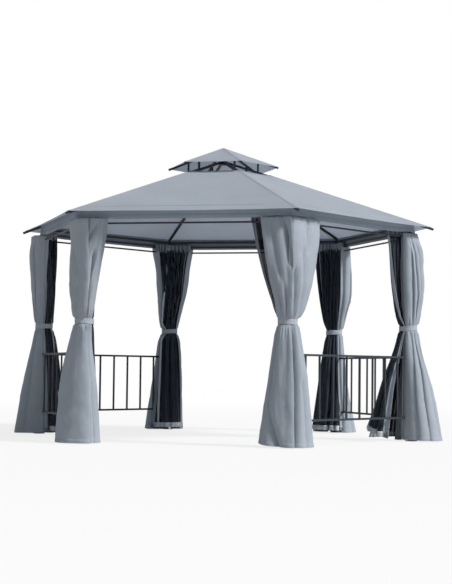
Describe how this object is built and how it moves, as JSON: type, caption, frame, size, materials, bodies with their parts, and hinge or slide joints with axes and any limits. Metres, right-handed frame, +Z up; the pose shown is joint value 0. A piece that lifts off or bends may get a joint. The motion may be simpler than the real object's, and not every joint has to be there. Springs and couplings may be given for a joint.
{
  "type": "garden gazebo",
  "caption": "Open hexagonal soft-top garden gazebo with a vented two-tier fabric roof, slim tube frame, low railings and curtains tied back at the posts.",
  "frame": {"origin": "middle of the hexagon at ground level", "axes": "+Z up, -Y out of the front doorway, +X to the right post as seen from the front"},
  "size_m": [3.997, 3.5146, 2.7179],
  "materials": {
    "frame_steel": "satin",
    "canopy_fabric": "matte",
    "curtain_fabric": "matte"
  },
  "bodies": {
    "root": {"post_right": "frame_steel", "post_back_right": "frame_steel", "post_back_left": "frame_steel", "post_left": "frame_steel", "post_front_left": "frame_steel", "post_front_right": "frame_steel", "beam_back_right": "frame_steel", "beam_back": "frame_steel", "beam_back_left": "frame_steel", "beam_front_left": "frame_steel", "beam_front": "frame_steel", "beam_front_right": "frame_steel", "net_rod_back_right": "frame_steel", "net_rod_back": "frame_steel", "net_rod_back_left": "frame_steel", "net_rod_front_left": "frame_steel", "net_rod_front": "frame_steel", "net_rod_front_right": "frame_steel", "railing_back_right": "frame_steel", "railing_back_left": "frame_steel", "railing_front_left": "frame_steel", "railing_front_right": "frame_steel", "rafter_right": "frame_steel", "rafter_back_right": "frame_steel", "rafter_back_left": "frame_steel", "rafter_left": "frame_steel", "rafter_front_left": "frame_steel", "rafter_front_right": "frame_steel", "roof_hub": "frame_steel", "cap_frame": "frame_steel", "canopy_back_right": "canopy_fabric", "canopy_back": "canopy_fabric", "canopy_back_left": "canopy_fabric", "canopy_front_left": "canopy_fabric", "canopy_front": "canopy_fabric", "canopy_front_right": "canopy_fabric", "cap_canopy": "canopy_fabric", "valance": "canopy_fabric", "curtain_right": "curtain_fabric", "curtain_back_right": "curtain_fabric", "curtain_back_left": "curtain_fabric", "curtain_left": "curtain_fabric", "curtain_front_left": "curtain_fabric", "curtain_front_right": "curtain_fabric"}
  },
  "joints": []
}
